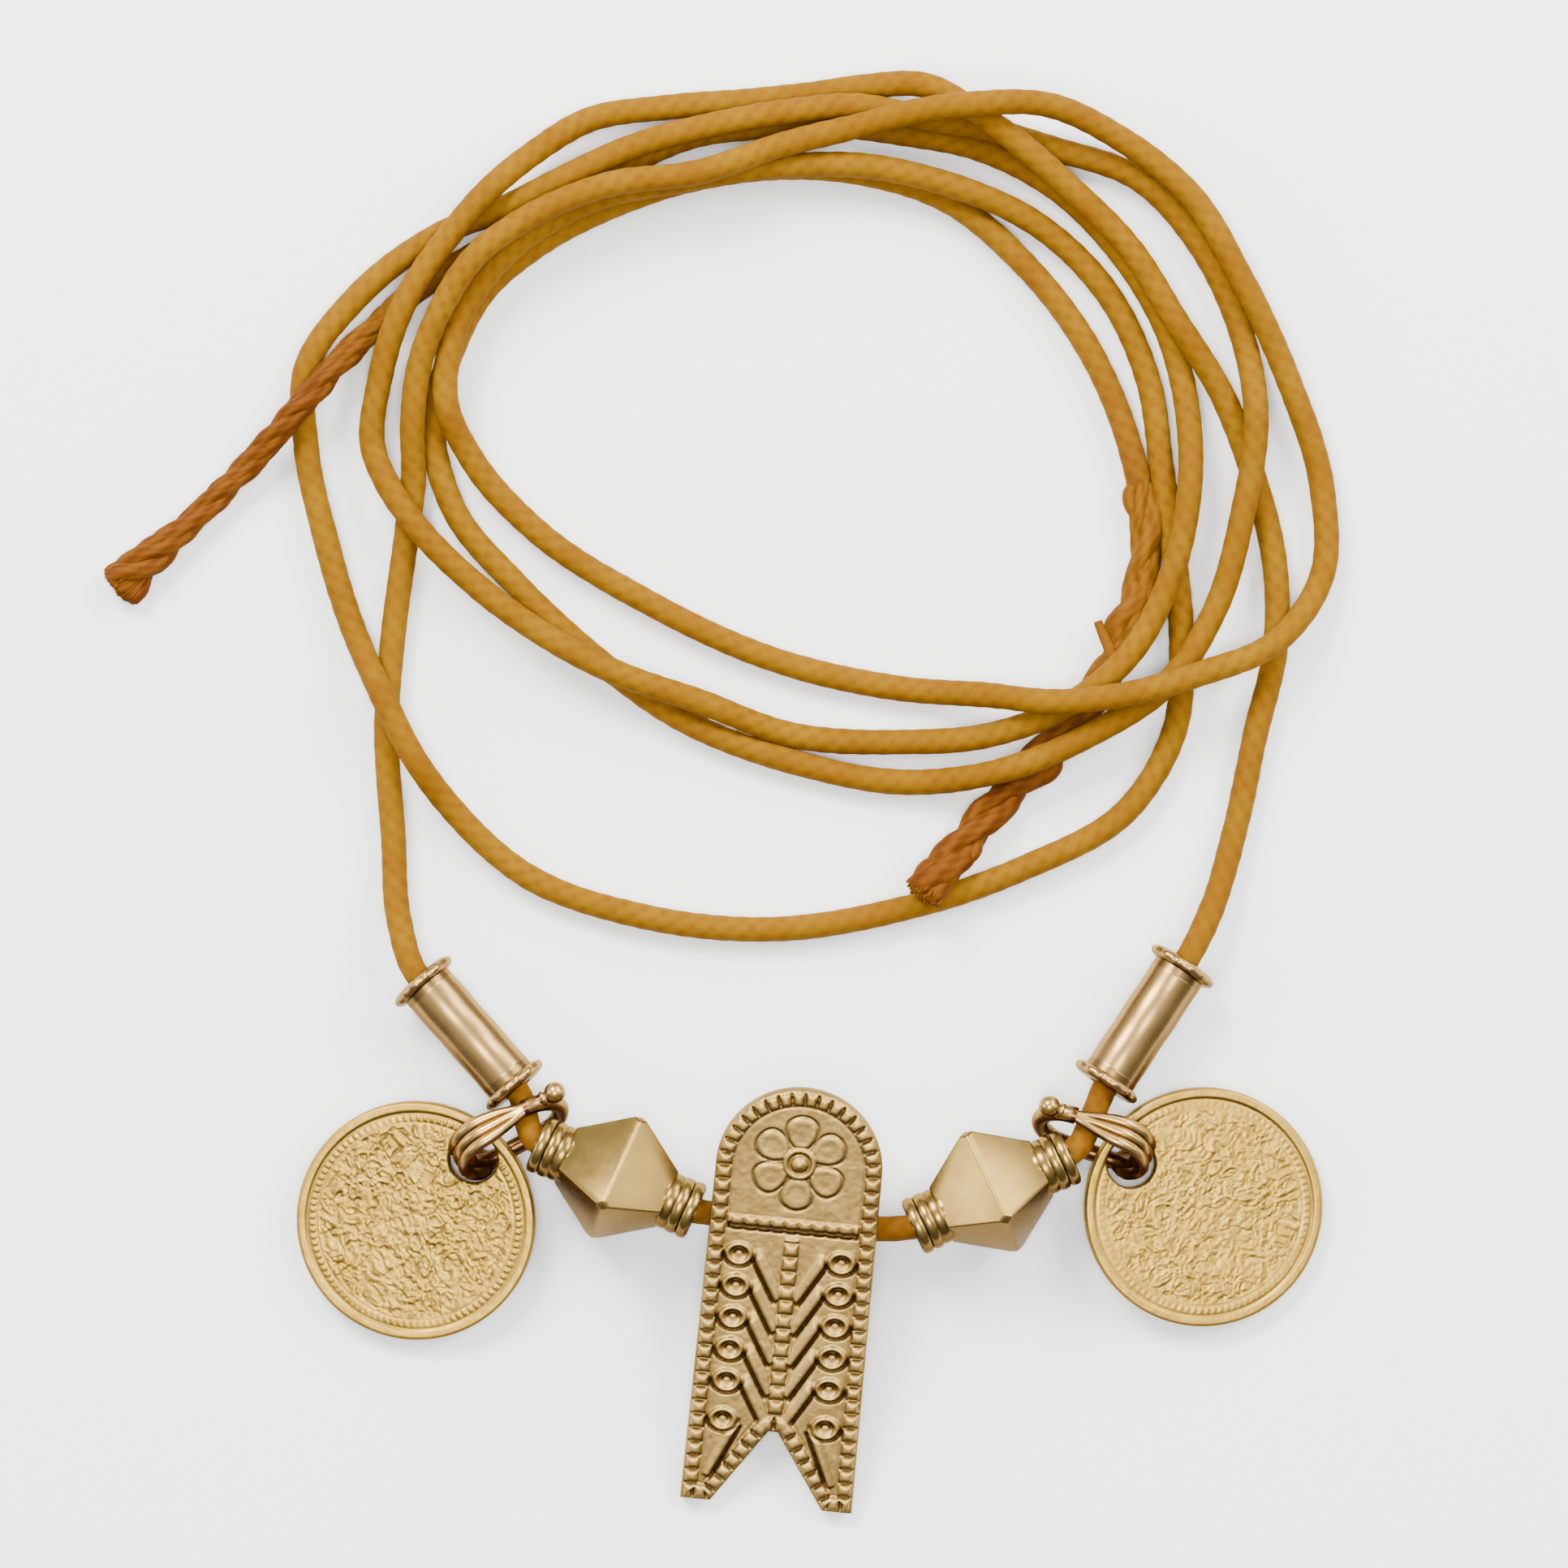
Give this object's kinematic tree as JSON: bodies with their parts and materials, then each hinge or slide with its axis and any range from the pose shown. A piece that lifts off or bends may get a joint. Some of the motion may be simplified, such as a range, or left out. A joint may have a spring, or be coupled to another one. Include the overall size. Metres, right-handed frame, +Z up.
{
  "type": "thali necklace",
  "caption": "Thali necklace of turmeric cotton cord with a two-tailed pendant, coins on bails, faceted beads and tube beads, lying loosely coiled.",
  "frame": {"origin": "on the surface the necklace lies on, under the middle of its row of brass pieces", "axes": "+X to the right along the row of pieces, +Y from the pendant's tails towards the coiled cord, +Z up"},
  "size_m": [0.0905, 0.1077, 0.01],
  "materials": {
    "pendant_brass": "cast, softly worn, dark in the recesses",
    "coin_brass": "struck, worn and satin",
    "bail_brass": "satin with dark grooves",
    "bead_brass": "polished flat facets",
    "tube_brass": "satin",
    "cord_cotton": "dyed braided cotton, softly waxed"
  },
  "bodies": {
    "root": {"pendant": "pendant_brass", "coin_left": "coin_brass", "coin_right": "coin_brass", "bail_left": "bail_brass", "bail_right": "bail_brass", "bead_left": "bead_brass", "bead_right": "bead_brass", "tube_left": "tube_brass", "tube_right": "tube_brass", "cord_left": "cord_cotton", "cord_middle": "cord_cotton", "cord_right": "cord_cotton"}
  },
  "joints": []
}
